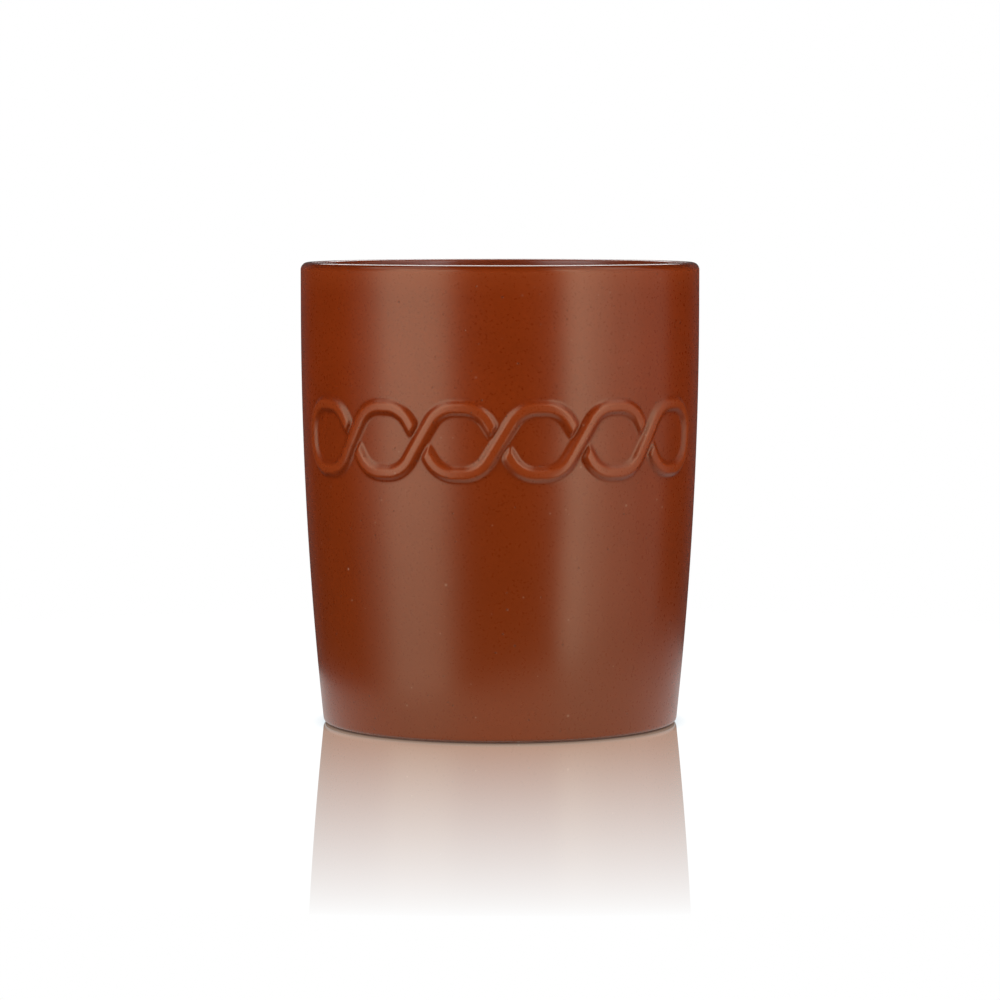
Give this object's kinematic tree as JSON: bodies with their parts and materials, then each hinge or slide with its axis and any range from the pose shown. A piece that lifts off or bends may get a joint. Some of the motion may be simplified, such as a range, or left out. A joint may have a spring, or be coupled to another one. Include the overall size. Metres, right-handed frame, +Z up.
{
  "type": "clay drinking cup",
  "caption": "Handle-less clay drinking cup with an upright collar, a gently tapering wall, raised knotwork on its front and a satin red-brown glaze.",
  "frame": {"origin": "centre of the foot ring, on the surface that the cup stands on", "axes": "+Z up along the cup's axis, -Y towards the decorated front, +X to the right of a viewer who faces the front"},
  "size_m": [0.08, 0.0804, 0.0926],
  "materials": {
    "clay": "bare fired red clay, matt and slightly sandy, showing only on the foot ring",
    "satin_glaze": "satin red-brown glaze, thinner and redder on raised edges, darker where it pools",
    "gloss_glaze": "smooth glossy brown liner glaze"
  },
  "bodies": {
    "root": {"clay_body": "clay", "knotwork": "clay", "outer_glaze": "satin_glaze", "liner_glaze": "gloss_glaze", "base_glaze": "gloss_glaze"}
  },
  "joints": []
}
